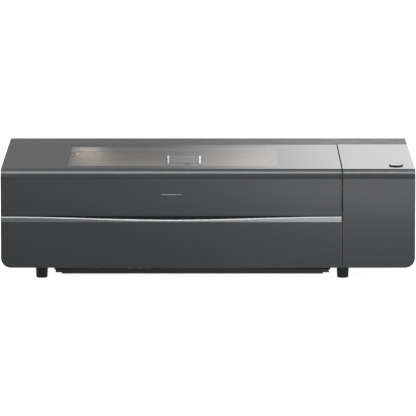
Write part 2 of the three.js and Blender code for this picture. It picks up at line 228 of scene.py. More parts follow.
def surface(name, color, rough, metallic=0.0, vary=0.08, rough_vary=0.05, bump=0.02, bump_mm=0.4,
            stretch=(1.0, 1.0, 1.0), patch_mm=60.0, level=0.5, anisotropy=0.0, emission=0.0):
    """A Principled surface with soft colour patches, a fine grain in its height, and uneven gloss."""
    material, tree = new_material(name)
    shader = set_values(tree.nodes["Principled BSDF"], Metallic=metallic, Specular_IOR_Level=level,
                        Anisotropic=anisotropy)
    if emission:
        set_values(shader, Emission_Color=(*color, 1.0), Emission_Strength=emission)
    fine = grain(tree, 1000.0 / bump_mm, stretch)
    patches = grain(tree, 1000.0 / patch_mm, detail=4.0)
    mixed = add_node(tree, "Mix", data_type="FLOAT")
    mixed.inputs[0].default_value = 0.45
    tree.links.new(patches, mixed.inputs[2])
    tree.links.new(fine, mixed.inputs[3])
    low = tuple(c * (1.0 - vary) for c in color)
    high = tuple(min(c * (1.0 + vary), 1.0) for c in color)
    colors = color_ramp(tree, mixed.outputs[0], [(0.3, low), (0.7, high)])
    gloss = range_between(tree, patches, rough - rough_vary, rough + rough_vary)
    height = add_node(tree, "Bump", Strength=bump, Distance=bump_mm * MM)
    tree.links.new(fine, height.inputs["Height"])
    tree.links.new(colors, shader.inputs["Base Color"])
    tree.links.new(gloss, shader.inputs["Roughness"])
    tree.links.new(height.outputs["Normal"], shader.inputs["Normal"])
    return material


def clear_sheet(name, tint=(1.0, 1.0, 1.0)):
    """Clear glass as a closed thin body: the face that light meets first mirrors it by its angle,
    and the rest goes straight through."""
    material, tree = new_material(name)
    tree.nodes.clear()
    through = add_node(tree, "BsdfTransparent", Color=(*tint, 1.0))
    mirror = add_node(tree, "BsdfAnisotropic", Color=(1.0, 1.0, 1.0, 1.0))
    smudges = range_between(tree, grain(tree, 14.0, detail=5.0), 0.03, 0.055)
    angle = add_node(tree, "Fresnel", IOR=1.5)
    inside = add_node(tree, "NewGeometry")
    outside = add_node(tree, "Math", operation="SUBTRACT")
    outside.inputs[0].default_value = 1.0
    share = add_node(tree, "Math", operation="MULTIPLY")
    mix = add_node(tree, "MixShader")
    output = add_node(tree, "OutputMaterial")
    tree.links.new(smudges, mirror.inputs["Roughness"])
    tree.links.new(inside.outputs["Backfacing"], outside.inputs[1])
    tree.links.new(angle.outputs["Fac"], share.inputs[0])
    tree.links.new(outside.outputs["Value"], share.inputs[1])
    tree.links.new(share.outputs["Value"], mix.inputs["Fac"])
    tree.links.new(through.outputs["BSDF"], mix.inputs[1])
    tree.links.new(mirror.outputs["BSDF"], mix.inputs[2])
    tree.links.new(mix.outputs["Shader"], output.inputs["Surface"])
    return material


materials = {
    "housing": surface("housing_paint", (0.061, 0.0625, 0.0655), 0.18, vary=0.04, rough_vary=0.012,
                       bump=0.03, bump_mm=0.35),
    "top_cover": surface("rear_cover_grain", (0.07, 0.07, 0.071), 0.4, bump=0.2, bump_mm=0.7, level=0.67),
    "glass": clear_sheet("lid_glass_clear"),
    "printed_glass": surface("printed_glass", (0.01, 0.01, 0.011), 0.045, vary=0.2, rough_vary=0.012,
                             bump=0.004),
    "dark_steel": surface("blackened_steel", (0.045, 0.045, 0.048), 0.42, 0.6, vary=0.15, bump=0.1),
    "polished": surface("polished_cap", (0.58, 0.58, 0.59), 0.12, 1.0, vary=0.03, rough_vary=0.03),
    # near-white and barely metal: a painted highlight, on the trim's top edge and on the latch post and pin
    "bead": surface("trim_bead_painted_highlight", (0.95, 0.95, 0.96), 0.3, 0.12, vary=0.06, bump=0.03),
    "trim": surface("brushed_trim", (0.41, 0.413, 0.42), 0.3, 0.84, vary=0.04, bump=0.05,
                    stretch=(0.05, 1.0, 1.0), anisotropy=0.4),
    "steel": surface("blasted_metal", (0.5, 0.5, 0.51), 0.38, 1.0, vary=0.1, bump=0.08),
    "plate": surface("base_powder_coat", (0.12, 0.12, 0.125), 0.5, bump=0.25, bump_mm=0.8),
    "frame": surface("grey_frame_paint", (0.15, 0.147, 0.14), 0.5, vary=0.06, bump=0.1, bump_mm=0.6),
    "chamber": surface("warm_grey_powder_coat", (0.42, 0.385, 0.34), 0.48, vary=0.07, bump=0.2,
                       bump_mm=0.9),
    "tray": surface("tray_powder_coat", (0.034, 0.034, 0.0345), 0.45, vary=0.15, bump=0.2, bump_mm=0.7),
    "rubber": surface("foot_rubber", (0.016, 0.017, 0.019), 0.7, vary=0.2, bump=0.3, bump_mm=0.5),
    "plastic": surface("black_plastic", (0.014, 0.014, 0.016), 0.42, vary=0.15, bump=0.12, bump_mm=0.5),
    "grey_plastic": surface("grey_plastic_shell", (0.28, 0.28, 0.285), 0.4, bump=0.08),
    "light": surface("white_diffuser", (0.9, 0.89, 0.86), 0.35, vary=0.03, emission=0.9),
    "belt": surface("belt_rubber", (0.012, 0.012, 0.013), 0.75, vary=0.2, bump=0.3),
    "tube_glass": clear_sheet("tube_glass_clear", (0.93, 0.97, 0.98)),
    "board": surface("solder_mask", (0.01, 0.09, 0.04), 0.3, vary=0.25, patch_mm=6.0),
}


# ---------------------------------------------------------------- outlines
def arc(u, v, radius, start, end, steps):
    """Points on an arc, angles in degrees from the first axis towards the second."""
    points = []
    for i in range(steps + 1):
        angle = math.radians(start + (end - start) * i / steps)
        points.append((u + radius * math.cos(angle), v + radius * math.sin(angle)))
    return points


def rounded_rectangle(low, high, radius, steps=6):
    (u0, v0), (u1, v1) = low, high
    left, right, bottom, top = u0 + radius, u1 - radius, v0 + radius, v1 - radius
    points = []
    for i, (u, v) in enumerate(((right, top), (left, top), (left, bottom), (right, bottom))):
        points += arc(u, v, radius, 90 * i, 90 * i + 90, steps)
    return points


def ridged_circle(u, v, count, steps):
    """A round outline with equal ridges. steps are each ridge's (share of its pitch, radius)."""
    points = []
    for i in range(count):
        for share, radius in steps:
            angle = 2 * math.pi * (i + share) / count
            points.append((u + radius * math.cos(angle), v + radius * math.sin(angle)))
    return points


def in_mm(points):
    """Points given in millimetres, turned into metres."""
    return [(u * MM, v * MM) for u, v in points]


def spread(low, high, count):
    """Places at even steps, from low to high."""
    return [low + (high - low) * i / (count - 1) for i in range(count)]


def measure(node):
    """A CAD node's low corner, high corner and centre."""
    low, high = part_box(node)
    return low, high, (low + high) / 2


def middle(node):
    return measure(node)[2]


# ---------------------------------------------------------------- mesh building
def new_piece(name, bm, smooth_angle=35.0):
    bmesh.ops.recalc_face_normals(bm, faces=bm.faces)
    mesh = bpy.data.meshes.new(name)
    bm.to_mesh(mesh)
    bm.free()
    mesh.shade_smooth()
    mesh.set_sharp_from_angle(angle=math.radians(smooth_angle))
    return add_object(name, mesh)


def bevelled(piece, width, segments=3):
    bevel = piece.modifiers.new("edges", "BEVEL")
    bevel.width = width
    bevel.segments = segments
    bevel.limit_method = "ANGLE"
    bevel.angle_limit = math.radians(35)
    bevel.harden_normals = True
    bevel.use_clamp_overlap = True
    return piece


def skin_rings(bm, rings):
    """Faces between rings of vertices that have the same count, and a cap on each end."""
    for first, second in zip(rings, rings[1:]):
        for j in range(len(first)):
            k = (j + 1) % len(first)
            bm.faces.new((first[j], first[k], second[k], second[j]))
    bm.faces.new(rings[0])
    bm.faces.new(rings[-1])


PUSH = {  # an outline's two axes, then the axis it is pushed along
    "X": lambda u, v, w: Vector((w, u, v)),
    "Y": lambda u, v, w: Vector((u, w, v)),
    "Z": lambda u, v, w: Vector((u, v, w)),
}


def prism(name, outline, along, low, high, holes=()):
    """A closed outline, with holes if any, pushed along one axis from low to high."""
    place = PUSH[along]
    bm = bmesh.new()
    rings = []
    for loop in (outline, *holes):
        bottom = [bm.verts.new(place(u, v, low)) for u, v in loop]
        top = [bm.verts.new(place(u, v, high)) for u, v in loop]
        rings.append((bottom, top))
        count = len(loop)
        for i in range(count):
            j = (i + 1) % count
            bm.faces.new((bottom[i], bottom[j], top[j], top[i]))
    for side in (0, 1):
        if not holes:
            bm.faces.new(rings[0][side])
            continue
        edges = []
        for ring in rings:
            loop = ring[side]
            for i, vert in enumerate(loop):
                edges.append(bm.edges.get((vert, loop[(i + 1) % len(loop)])))
        bmesh.ops.triangle_fill(bm, edges=edges, use_beauty=True)
    return new_piece(name, bm)


def block(name, low, high, width=0.0, segments=3):
    outline = [(low[0], low[1]), (high[0], low[1]), (high[0], high[1]), (low[0], high[1])]
    piece = prism(name, outline, "Z", low[2], high[2])
    return bevelled(piece, width, segments) if width else piece


def turned(name, profile, centres, axis="Z", segments=48):
    """A profile of (radius, height) points turned about an axis, once at each centre."""
    bm = bmesh.new()
    turn = {"X": Matrix.Rotation(math.pi / 2, 4, "Y"), "Y": Matrix.Rotation(-math.pi / 2, 4, "X"),
            "Z": Matrix.Identity(4)}[axis]
    for centre in centres:
        place = Matrix.Translation(Vector(centre)) @ turn
        verts = [bm.verts.new(place @ Vector((radius, 0.0, height))) for radius, height in profile]
        edges = [bm.edges.new(pair) for pair in zip(verts, verts[1:])]
        bmesh.ops.spin(bm, geom=verts + edges, cent=Vector(centre), axis=turn @ Vector((0, 0, 1)),
                       angle=2 * math.pi, steps=segments, use_merge=True, use_duplicate=False)
    bmesh.ops.remove_doubles(bm, verts=bm.verts, dist=1e-7)
    return new_piece(name, bm, 30.0)


def merged(name, pieces):
    """One piece made of several separate solids."""
    bm = bmesh.new()
    for piece in pieces:
        bm.from_mesh(piece.data)
        bpy.data.objects.remove(piece)
    return new_piece(name, bm)


def combine(first, second, operation):
    """The first piece changed by a boolean with the second, which is used up."""
    change = first.modifiers.new("boolean", "BOOLEAN")
    change.operation = operation
    change.solver = "EXACT"
    change.object = second
    depsgraph = bpy.context.evaluated_depsgraph_get()
    result = bpy.data.meshes.new_from_object(first.evaluated_get(depsgraph))
    first.modifiers.remove(change)
    first.data = result
    bpy.data.objects.remove(second)
    result.shade_smooth()
    result.set_sharp_from_angle(angle=math.radians(35))


# ---------------------------------------------------------------- placing pieces
def place_piece(piece, body, slot, *nodes, look=None):
    """A piece rides on a body and may stand for CAD nodes. Its look is its slot's if none is named."""
    piece.data.materials.append(materials[look or slot])
    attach(piece, body)
    if nodes:
        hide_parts(*nodes)
    return piece


def screws(name, body, centres, axis, radius, facing=1, look="steel"):
    """Pan-head screws with a round socket. facing is the side of the axis that their heads face."""
    tall = 0.62 * radius
    shape = [(0, 0.35), (0.42, 0.35), (0.5, 0.9), (0.72, 1.0), (0.9, 0.75), (1.0, 0.3), (1.0, 0.0), (0, 0)]
    profile = [(radius * r, facing * tall * h) for r, h in shape]
    place_piece(turned(name, profile, centres, axis, 20), body, "steel", look=look)


def dress(node, look, width):
    """A CAD node keeps its shape and gets its material, and soft edges by modifiers."""
    part = frame["nodes"][node]
    part.data.materials.clear()
    part.data.materials.append(materials[look])
    part.modifiers.new("weld", "WELD").merge_threshold = 1e-5
    bevelled(part, width, 2)


# ---------------------------------------------------------------- housing shells
def cover_profile(front, top, z0):
    """Side view of a front cover: a flat face from z0 up, bent back over the front top edge.

    The bend stops a little short of level, which leaves a shadow gap before the glass."""
    end = front + FILLET
    centre = top - FILLET
    points = [(front, z0)]
    points += arc(end, centre, FILLET, 180, 98, FILLET_STEPS)
    points += arc(end, centre, FILLET - SKIN, 90, 180, FILLET_STEPS)
    points += [(front + SKIN, z0)]
    return points


def front_plate(x0, x1, z0, z1, round_left, round_right):
    """Front view of a plate whose lower corners are round where it says so."""
    points = [(x1, z1), (x0, z1)]
    points += arc(x0 + CORNER, z0 + CORNER, CORNER, 180, 270, 20) if round_left else [(x0, z0)]
    points += arc(x1 - CORNER, z0 + CORNER, CORNER, 270, 360, 20) if round_right else [(x1, z0)]
    return points


def make_lid_front():
    """The lid's front cover, with a plain inlaid bar in the middle of its face."""
    low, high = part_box("lid_front_panel")
    shell = prism("lid_front_shell", cover_profile(low.y, high.z, low.z), "X", low.x, high.x)
    half, tall, deep = 24 * MM, 2.2 * MM, 0.5 * MM
    x, z = (low.x + high.x) / 2, low.z + 52 * MM
    outline = rounded_rectangle((x - half, z - tall / 2), (x + half, z + tall / 2), tall / 2 - 1e-5)
    combine(shell, prism("pocket_tool", outline, "Y", low.y - MM, low.y + deep), "DIFFERENCE")
    place_piece(bevelled(shell, 0.5 * MM), "lid", "housing", "lid_front_panel")
    place_piece(prism("lid_inlay_bar", outline, "Y", low.y + 0.1 * MM, low.y + deep), "lid", "trim")


def make_tower_front():
    low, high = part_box("tower_front_cover")
    shell = prism("tower_front_shell", cover_profile(low.y, high.z, low.z), "X", low.x, high.x)
    plate = front_plate(low.x - MM, high.x, low.z, high.z + MM, False, True)
    combine(shell, prism("corner_tool", plate, "Y", low.y - MM, high.y + MM), "INTERSECT")
    place_piece(bevelled(shell, 0.8 * MM), "base", "housing", "tower_front_cover")


def make_door():
    low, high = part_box("front_door")
    plate = front_plate(low.x, high.x, low.z, high.z, True, False)
    panel = prism("front_door_panel", plate, "Y", low.y, high.y)
    place_piece(bevelled(panel, 0.6 * MM), "door", "housing", "front_door")


def make_trim():
    """A bright bar whose top edge sinks in one long wave. Its bead faces forward and up, and is coloured
    near-white: a painted highlight along the top edge.
    """
    low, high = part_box("front_trim")
    dip, lip = 7.8 * MM, 0.35 * MM
    bead_tall, bead_deep = 2.4 * MM, 1.5 * MM
    stations = 120
    bm = bmesh.new()
    rings = []
    for i in range(stations + 1):
        t = i / stations
        x = low.x + (high.x - low.x) * t
        top = high.z - dip * (1 - math.cos(2 * math.pi * t)) / 2
        section = [(low.y + lip, low.z), (low.y, low.z + lip), (low.y, top - bead_tall),
                   (low.y + bead_deep, top), (high.y, top), (high.y, low.z)]
        rings.append([bm.verts.new((x, y, z)) for y, z in section])
    skin_rings(bm, rings)
    bar = place_piece(new_piece("front_trim_bar", bm, 20), "base", "trim", "front_trim")
    # the bead faces take the near-white look, a painted highlight along the trim's top edge
    bar.data.materials.append(materials["bead"])
    for face in bar.data.polygons:
        if face.normal.y < -0.3 and face.normal.z > 0.3:
            face.material_index = 1


def make_lid_seal():
    """A dark rubber seal behind the gap between trim and lid, which shows in the finger recess."""
    low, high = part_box("front_crossmember")
    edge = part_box("lid_front_panel")[0].z
    strip = block("front_lid_seal", (low.x + 2 * MM, low.y + 0.2 * MM, high.z),
                  (high.x - 2 * MM, low.y + 4 * MM, edge + 2 * MM), 0.8 * MM)
    place_piece(strip, "base", "rubber")


def side_outline(x0, x1, z0, z1, outer_left):
    """Front view of a side panel: a wall that bends in under the machine."""
    edge, inner = (x0, x1) if outer_left else (x1, x0)
    way = 1 if outer_left else -1
    turn = (180, 270) if outer_left else (360, 270)
    centre = (edge + way * CORNER, z0 + CORNER)
    outside = arc(*centre, CORNER, *turn, 20)
    inside = arc(*centre, CORNER - SHEET, turn[1], turn[0], 20)
    return [(edge, z1), *outside, (inner, z0), (inner, z0 + SHEET), *inside, (edge + way * SHEET, z1)]


def make_side_panels():
    for side in ("left", "right"):
        node = side + "_side_panel"
        low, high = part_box(node)
        outline = side_outline(low.x, high.x, low.z, high.z, side == "left")
        panel = prism(side + "_side_shell", outline, "Y", low.y, high.y)
        radius = 17.9 * MM      # follows the inside of the front covers' bend
        corner = arc(low.y + radius, high.z - radius, radius, 90, 180, 14)
        wall = [(high.y, low.z), (high.y, high.z), *corner, (low.y, low.z)]
        combine(panel, prism("wall_tool", wall, "X", low.x - MM, high.x + MM), "INTERSECT")
        place_piece(bevelled(panel, 0.5 * MM, 2), "base", "housing", node)


def make_rear():
    """The rear panel with its screws, and the fixed cover over the back of the top."""
    low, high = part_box("rear_panel")
    outline = front_plate(low.x, high.x, low.z, high.z, True, True)
    duct, half = middle("exhaust_collar"), 50 * MM
    hole = rounded_rectangle((duct.x - half, duct.z - half), (duct.x + half, duct.z + half), 2 * MM)
    panel = prism("rear_panel_sheet", outline, "Y", low.y, high.y, [hole])
    place_piece(bevelled(panel, 0.5 * MM, 2), "base", "housing", "rear_panel")
    edge = 9 * MM
    across = spread(low.x + edge, high.x - edge, 7)
    places = [(x, high.y, high.z - edge) for x in across]
    places += [(x, high.y, low.z + edge) for x in across[1:-1]]
    places += [(x, high.y, z) for x in (across[0], across[-1]) for z in (90 * MM, 175 * MM)]
    screws("rear_panel_screws", "base", places, "Y", 2.8 * MM, look="dark_steel")
    low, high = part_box("rear_top_cover")
    place_piece(block("rear_top_shell", low, high, 0.9 * MM), "base", "top_cover", "rear_top_cover")


def make_feet():
    """Round rubber feet that widen upwards, with a recess in their soles."""
    for node in [name for name in frame["nodes"] if name.startswith("foot_")]:
        low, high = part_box(node)
        centre, tall = middle(node), high.z
        wide, narrow = (high.x - low.x) / 2, 13.6 * MM
        profile = [(0, 0.6 * MM), (6 * MM, 0.6 * MM), (7 * MM, 0), (narrow - 1.8 * MM, 0),
                   (narrow - 0.7 * MM, 0.3 * MM), (narrow - 0.2 * MM, 0.9 * MM), (narrow, 2 * MM)]
        profile += [(narrow + (wide - narrow) * t, tall * t) for t in (0.2, 0.4, 0.6, 0.8)]
        profile += [(wide - 0.25 * MM, tall - 1.2 * MM), (wide - 0.7 * MM, tall - 0.2 * MM),
                    (wide - 1.4 * MM, tall), (0, tall)]
        foot = turned(node + "_pad", profile, [(centre.x, centre.y, 0)])
        place_piece(foot, "base", "rubber", node)


# ---------------------------------------------------------------- lid and tower top
def window_outline():
    """The clear part of the lid: the hole of the lid frame, with a slanted rear right corner."""
    (x0, y0), (x1, y1) = WINDOW
    small = 1.5 * MM
    points = arc(x0 + small, y0 + small, small, 180, 270, 6)
    points += arc(x1 - small, y0 + small, small, 270, 360, 6)
    points += [(x1, y1 - 60 * MM), (x1 - 6 * MM, y1 - 24 * MM), (x1 - 18 * MM, y1)]
    points += arc(x0 + small, y1 - small, small, 90, 180, 6)
    return points


def make_lid_glass():
    """Clear glass, and over it a thin glossy black print that leaves the window free."""
    low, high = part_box("lid_glass")
    print_under = high.z - 0.05 * MM
    edge = rounded_rectangle((low.x, low.y), (high.x, high.y), MM)
    sheet = prism("lid_glass_sheet", edge, "Z", low.z, print_under)
    place_piece(bevelled(sheet, 0.2 * MM), "lid", "glass", "lid_glass")
    border = prism("lid_black_print", edge, "Z", print_under, high.z, [window_outline()])
    place_piece(border, "lid", "glass", look="printed_glass")


def make_lid_frame():
    """The sheet frame under the glass, with screws along its front and rear edges."""
    low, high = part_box("lid_frame")
    clear, inset = 3 * MM, 14 * MM      # clear: how far the frame stays outside the window's edge
    (x0, y0), (x1, y1) = WINDOW
    hole = rounded_rectangle((x0 - clear, y0 - clear), (x1 + clear, y1 + clear), 4 * MM)
    outline = rounded_rectangle((low.x, low.y), (high.x, high.y), 5 * MM)
    body = prism("lid_frame_sheet", outline, "Z", low.z, high.z, [hole])
    place_piece(bevelled(body, 1.0 * MM), "lid", "frame", "lid_frame")
    places = [(x, y, low.z) for x in spread(low.x + inset, high.x - inset, 8)
              for y in (low.y + inset, high.y - 4 * MM)]
    screws("lid_frame_screws", "lid", places, "Z", 2.0 * MM, -1)


def make_camera_module():
    """A housing under the glass, with a light bar at each end of its face plate, and a lens below."""
    low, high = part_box("camera_housing")
    shell = block("camera_shell", low, high, 2.5 * MM, 4)
    place_piece(shell, "lid", "grey_plastic", "camera_housing", look="plastic")
    for node in ("camera_light_left", "camera_light_right"):
        place_piece(block(node + "_bar", *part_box(node), 1.2 * MM), "lid", "light", node)
    inset = 2 * MM
    x0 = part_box("camera_light_left")[1].x + inset
    x1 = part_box("camera_light_right")[0].x - inset
    plate = block("camera_face_plate", (x0, low.y - 1.6 * MM, low.z + inset),
                  (x1, low.y - 0.2 * MM, high.z - 0.5 * MM), 0.5 * MM)
    place_piece(plate, "lid", "grey_plastic")
    low, high, centre = measure("camera_lens")
    steps = [(0, 1.4), (1.6, 1.25), (3.0, 0.8), (3.6, 0.9), (3.8, 0.1), (4.2, 0.0), (5.5, 0.0), (6.0, 0.5)]
    profile = [(r * MM, low.z + h * MM) for r, h in steps] + [(6 * MM, high.z), (0, high.z)]
    lens = turned("camera_lens_barrel", profile, [(centre.x, centre.y, 0)])
    place_piece(lens, "lid", "plastic", "camera_lens")


def make_tower_top():
    low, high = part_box("tower_top_panel")
    bezel = middle("button_bezel")
    outline = rounded_rectangle((low.x, low.y), (high.x, high.y), MM)
    hole = arc(bezel.x, bezel.y, 17.6 * MM, 0, 354, 59)
    panel = prism("tower_top_plate", outline, "Z", low.z, high.z, [hole])
    place_piece(bevelled(panel, 0.5 * MM), "base", "glass", "tower_top_panel", look="printed_glass")


def make_start_button():
    """A ring bezel with a cup below, and a polished cap that is slightly dished."""
    low, high, centre = measure("button_bezel")
    at = (centre.x, centre.y, 0)
    outer, inner, floor_top = (high.x - low.x) / 2, 14.3 * MM, 255 * MM
    ring = [(0, low.z), (outer - 0.4 * MM, low.z), (outer, low.z + 0.4 * MM),
            (outer, high.z - 1.2 * MM), (outer - 0.4 * MM, high.z - 0.35 * MM),
            (outer - 1.1 * MM, high.z), (inner + 0.6 * MM, high.z), (inner, high.z - 0.6 * MM),
            (inner, floor_top), (0, floor_top)]
    bezel = turned("button_ring", ring, [at], segments=72)
    place_piece(bezel, "base", "plastic", "button_bezel")
    low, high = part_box("start_button")
    edge = (high.x - low.x) / 2
    cap = [(0, low.z), (edge - 0.3 * MM, low.z), (edge, low.z + 0.3 * MM), (edge, high.z - 1.1 * MM),
           (edge - 0.35 * MM, high.z - 0.3 * MM), (edge - 1.0 * MM, high.z)]
    dish, steps = 0.8 * MM, 8
    for i in range(steps + 1):
        r = (edge - 1.6 * MM) * (1 - i / steps)
        cap.append((r, high.z - dish * (1 - (r / edge) ** 2)))
    button = turned("start_button_cap", cap, [at], segments=72)
    place_piece(button, "button", "light", "start_button", look="polished")


# ---------------------------------------------------------------- bed, tray and chamber walls
def make_bed():
    """A rim with knife-edged slats across it."""
    low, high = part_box("slat_bed")
    rim, pitch, thick, ridge = 15 * MM, 35 * MM, 4 * MM, 0.7 * MM
    inner_low, inner_high = (low.x + rim, low.y + rim), (high.x - rim, high.y - 19 * MM)
    outline = rounded_rectangle((low.x, low.y), (high.x, high.y), 4 * MM)
    hole = rounded_rectangle(inner_low, inner_high, 2 * MM)
    frame_rim = prism("bed_rim", outline, "Z", low.z, high.z, [hole])
    place_piece(bevelled(frame_rim, 0.8 * MM), "base", "steel", "slat_bed")
    slats = []
    for i in range(10):
        y = inner_low[1] + (i + 1) * pitch - thick
        shape = [(y, low.z + 0.5 * MM), (y + thick, low.z + 0.5 * MM),
                 (y + thick, high.z - 4 * MM), (y + thick / 2 + ridge / 2, high.z),
                 (y + thick / 2 - ridge / 2, high.z), (y, high.z - 4 * MM)]
        slats.append(prism("slat", shape, "X", inner_low[0] - MM, inner_high[0] + MM))
    place_piece(merged("bed_slats", slats), "base", "steel")
    places = [(x, y, high.z) for x in (low.x + rim / 2, high.x - rim / 2)
              for y in (low.y + rim / 2, (low.y + high.y) / 2, high.y - rim / 2)]
    screws("bed_screws", "base", places, "Z", 2.6 * MM)


def make_tray_strip():
    """A rubber strip under the base frame, which closes the gap over the crumb tray's rear wall."""
    low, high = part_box("crumb_tray")
    floor_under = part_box("base_frame")[0].z
    strip = block("tray_rear_strip", (low.x + 6 * MM, high.y - 4 * MM, high.z + 0.4 * MM),
                  (high.x - 6 * MM, high.y - 2.4 * MM, floor_under), 0.4 * MM)
    place_piece(strip, "base", "rubber")


def make_inner_wall_fittings():
    """Screws along the chamber's rear wall, and a latch post with its small pin."""
    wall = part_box("inner_rear_wall")[0].y
    places = [(x * MM, wall, 247 * MM) for x in (-221, -115, -10, 96)]
    screws("rear_wall_screws", "base", places, "Y", 2.1 * MM, -1)
    places = [(x * MM, wall, z * MM) for x in (-400, -200, 0, 200) for z in (80, 215)]
    screws("rear_wall_lower_screws", "base", places, "Y", 2.6 * MM, -1)
    centre = (-341 * MM, wall, 242 * MM)
    cup = in_mm([(0, 0), (6, 0), (6, -3.2), (5.4, -3.8), (4.2, -3.8), (3.9, -3.2), (3.9, -1.0), (0, -1.0)])
    place_piece(turned("latch_socket", cup, [centre], "Y"), "base", "plastic")
    post = in_mm([(0, -1.1), (2.6, -1.1), (2.9, -2.4), (2.6, -3.8), (1.6, -4.9), (0, -5.3)])
    # the steel post and pin take the near-white bead look: a painted highlight in place of their bright
    # reflection
    place_piece(turned("latch_post", post, [centre], "Y"), "base", "steel", look="bead")
    screws("latch_pin", "base", [(-327 * MM, wall, 244.5 * MM)], "Y", 2.2 * MM, -1, "bead")


def make_y_rails():
    """Rails with a V groove on the face towards the chamber, and a plastic cap on the front end."""
    groove, lip = 2.6 * MM, 5.5 * MM
    for node, way in (("y_rail_left", 1), ("y_rail_right", -1)):
        low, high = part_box(node)
        back, face = (low.x, high.x) if way > 0 else (high.x, low.x)
        bottom = face - way * groove
        shape = [(back, low.z), (face, low.z), (face, low.z + lip), (bottom, low.z + lip + groove),
                 (bottom, high.z - lip - groove), (face, high.z - lip), (face, high.z), (back, high.z)]
        rail = prism(node + "_profile", shape, "Y", low.y, high.y)
        place_piece(bevelled(rail, 0.4 * MM, 2), "base", "steel", node)
        places = [(bottom, low.y + (20 + 61 * i) * MM, (low.z + high.z) / 2) for i in range(8)]
        screws(node + "_screws", "base", places, "X", 1.5 * MM, way)
        cap = block(node + "_end_cap", (low.x, low.y - 2.5 * MM, low.z),
                    (high.x, low.y - 0.2 * MM, high.z), 0.6 * MM)
        place_piece(cap, "base", "plastic")


# ---------------------------------------------------------------- belts, pulleys and motors
def seen_along(node, along):
    """A node's box as two corners across an axis, X or Y, and its two ends on that axis."""
    low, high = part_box(node)
    if along == "X":
        return (low.y, low.z), (high.y, high.z), low.x, high.x
    return (low.x, low.z), (high.x, high.z), low.y, high.y


def toothed_wheel(name, u, v, along, radius, low, high):
    """A belt pulley: teeth between two thin flanges, all on one axis."""
    rim, depth, pitch = 1.0 * MM, 0.8 * MM, 3.2 * MM
    tooth = ((0.0, radius), (0.42, radius), (0.55, radius - depth), (0.87, radius - depth))
    outline = ridged_circle(u, v, round(2 * math.pi * radius / pitch), tooth)
    wheel = prism(name, outline, along, low + rim, high - rim)
    flange = arc(u, v, radius, 0, 352.5, 47)
    ends = [prism("flange", flange, along, start, start + rim) for start in (low, high - rim)]
    return merged(name, [wheel, *ends])


def belt_loop(start, end, v, inner, outer):
    """Outlines of a toothed belt round two equal pulleys: its plain back, and its toothed inside."""
    back = arc(end, v, outer, -90, 90, 24) + arc(start, v, outer, 90, 270, 24)
    tooth, pitch = 0.55 * MM, 4 * MM
    straight, turn = end - start, math.pi * inner
    teeth = round(2 * (straight + turn) / pitch)
    inside = []
    for i in range(teeth):
        for share, lift in ((0.0, 0.0), (0.45, 0.0), (0.55, tooth), (0.9, tooth)):
            way = 2 * (straight + turn) * (i + share) / teeth
            r = inner + lift
            half, rest = divmod(way, straight + turn)
            sign = 1 if half == 0 else -1
            if rest < straight:
                u = start + rest if half == 0 else end - rest
                inside.append((u, v - sign * r))
            else:
                angle = math.radians(-90 * sign) + (rest - straight) / inner
                centre = end if half == 0 else start
                inside.append((centre + r * math.cos(angle), v + r * math.sin(angle)))
    return back, inside


def make_belts():
    reach, grip = 1.6 * MM, 0.3 * MM
    for node, body, along in (("y_belt_left", "base", "X"), ("y_belt_right", "base", "X"),
                              ("x_belt", "gantry", "Y")):
        (u0, v0), (u1, v1), w0, w1 = seen_along(node, along)
        radius = (v1 - v0) / 2 - reach
        back, inside = belt_loop(u0 + radius + reach, u1 - radius - reach, (v0 + v1) / 2,
                                 radius + grip, radius + reach)
        place_piece(prism(node + "_toothed", back, along, w0, w1, [inside]), body, "belt", node)


def make_pulleys():
    for node, body, along in (("y_idler_left", "y_idler_l", "X"), ("y_idler_right", "y_idler_r", "X"),
                              ("x_drive_pulley", "x_drive", "Y"), ("x_idler", "x_idle", "Y")):
        (_, v0), (_, v1), w0, w1 = seen_along(node, along)
        centre = middle(node)
        u = centre.y if along == "X" else centre.x
        wheel = toothed_wheel(node + "_wheel", u, centre.z, along, (v1 - v0) / 2, w0, w1)
        place_piece(wheel, body, "steel", node)


def make_drive_shaft():
    """The rod behind the gantry, with a pulley at each end."""
    low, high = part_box("y_drive_shaft")
    centre, radius, wide, thin = middle("y_drive_shaft"), (high.z - low.z) / 2, 7 * MM, 4 * MM
    wheels = [toothed_wheel("wheel", centre.y, centre.z, "X", radius, x, x + wide)
              for x in (low.x, high.x - wide)]
    x0, x1 = low.x + wide / 2, high.x - wide / 2
    bar = turned("bar", [(0, x0), (thin, x0), (thin, x1), (0, x1)], [(0, centre.y, centre.z)], "X", 32)
    shaft = merged("y_drive_shaft_and_pulleys", [*wheels, bar])
    place_piece(shaft, "y_drive", "steel", "y_drive_shaft")


def make_motor(node, body, along):
    """A stepper motor: a dark stack of laminations between two cast ends."""
    (u0, v0), (u1, v1), w0, w1 = seen_along(node, along)
    cap, inset, count = 0.24 * (w1 - w0), 0.5 * MM, 9
    outline = rounded_rectangle((u0, v0), (u1, v1), 4 * MM)
    core = rounded_rectangle((u0 + inset, v0 + inset), (u1 - inset, v1 - inset), 5.5 * MM)
    ends = merged(node + "_ends", [prism("end", outline, along, w0, w0 + cap),
                                   prism("end", outline, along, w1 - cap, w1)])
    place_piece(bevelled(ends, 0.5 * MM, 2), body, "steel")
    step = (w1 - w0 - 2 * cap) / count
    starts = [w0 + cap + i * step for i in range(count)]
    sheets = [prism("sheet", core, along, start + 0.04 * step, start + 0.9 * step) for start in starts]
    place_piece(merged(node + "_laminations", sheets), body, "plastic", node, look="dark_steel")


